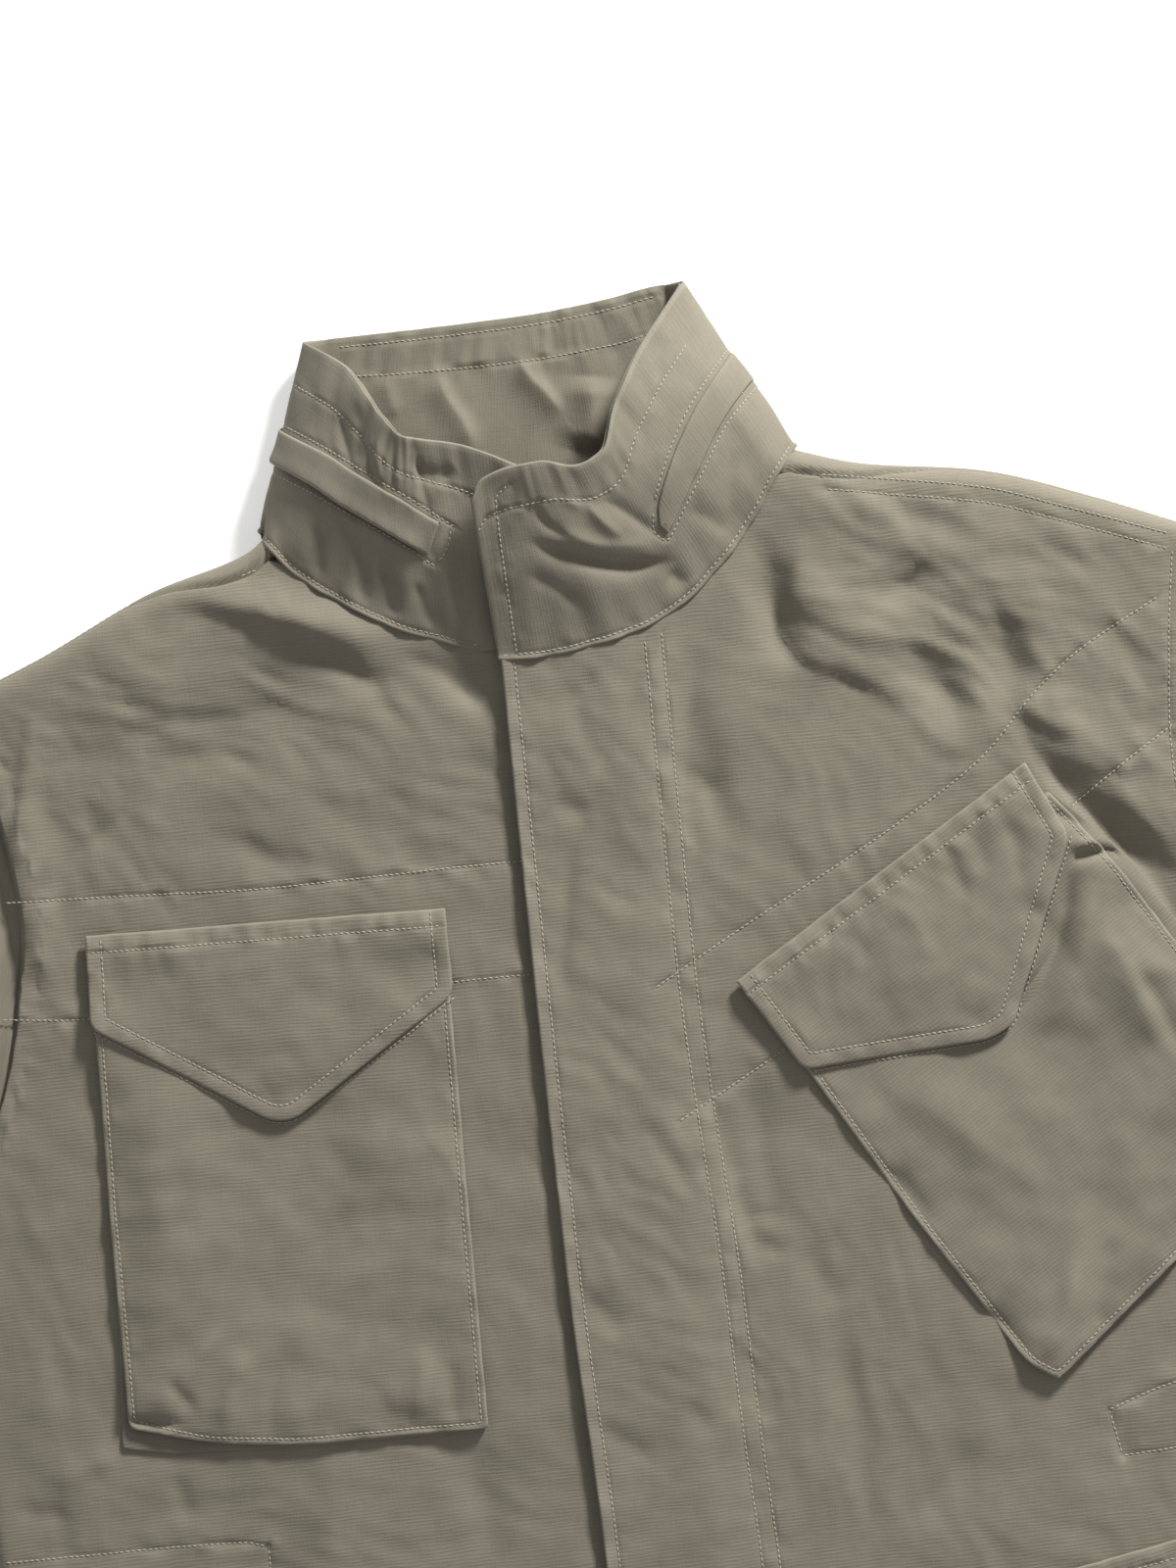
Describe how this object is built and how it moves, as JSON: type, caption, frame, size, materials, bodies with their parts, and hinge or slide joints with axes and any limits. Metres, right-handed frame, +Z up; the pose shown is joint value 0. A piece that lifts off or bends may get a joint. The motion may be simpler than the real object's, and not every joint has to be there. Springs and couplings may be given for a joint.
{
  "type": "field jacket",
  "caption": "Cotton field jacket with a stand collar, fly front and bellows chest pockets, laid flat on its back with its sleeves out.",
  "frame": {"origin": "the surface that the jacket lies on, below the front neck seam on the centre line", "axes": "+X across towards the wearer's left sleeve, +Y up the body towards the collar, +Z up out of the surface, through back and fronts"},
  "size_m": [1.4939, 0.8342, 0.0562],
  "materials": {
    "shell_cloth": "olive-grey ribbed cotton, matt",
    "inner_cloth": "the same cotton, in shade"
  },
  "bodies": {
    "root": {"back": "shell_cloth", "front_right": "shell_cloth", "front_left": "shell_cloth", "fly_facing": "inner_cloth", "collar": "shell_cloth", "hood_welt": "shell_cloth", "sleeve_right_top": "shell_cloth", "sleeve_right_under": "shell_cloth", "sleeve_left_top": "shell_cloth", "sleeve_left_under": "shell_cloth", "chest_gusset_right": "inner_cloth", "chest_gusset_left": "inner_cloth", "chest_pocket_right": "shell_cloth", "chest_pocket_left": "shell_cloth", "chest_flap_right": "shell_cloth", "chest_flap_left": "shell_cloth", "lower_flap_right": "shell_cloth", "lower_flap_left": "shell_cloth"}
  },
  "joints": []
}
